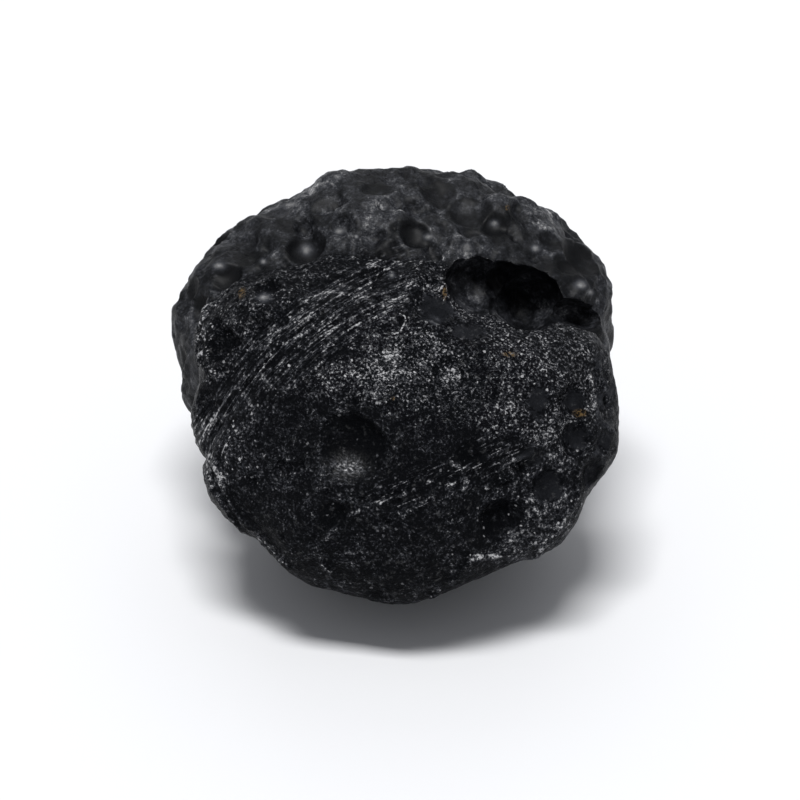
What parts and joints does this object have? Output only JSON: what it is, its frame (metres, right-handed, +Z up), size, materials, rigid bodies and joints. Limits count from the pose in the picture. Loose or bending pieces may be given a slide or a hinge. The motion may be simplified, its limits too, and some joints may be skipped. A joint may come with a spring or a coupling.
{
  "type": "tektite",
  "caption": "Rounded lump of natural black glass: two lobes grown together, with bubble pits, flow lines and a deep hollow under a brow.",
  "frame": {"origin": "middle of the stone's footprint box, on the surface that it rests on", "axes": "+X to the right of the face, -Y the way the face looks, +Z up from the flat that it rests on"},
  "size_m": [0.0368, 0.038, 0.0292],
  "materials": {
    "black_glass": "opaque black natural glass, etched to a satin sheen, with fine sparkling grain"
  },
  "bodies": {
    "root": {"tektite": "black_glass"}
  },
  "joints": []
}
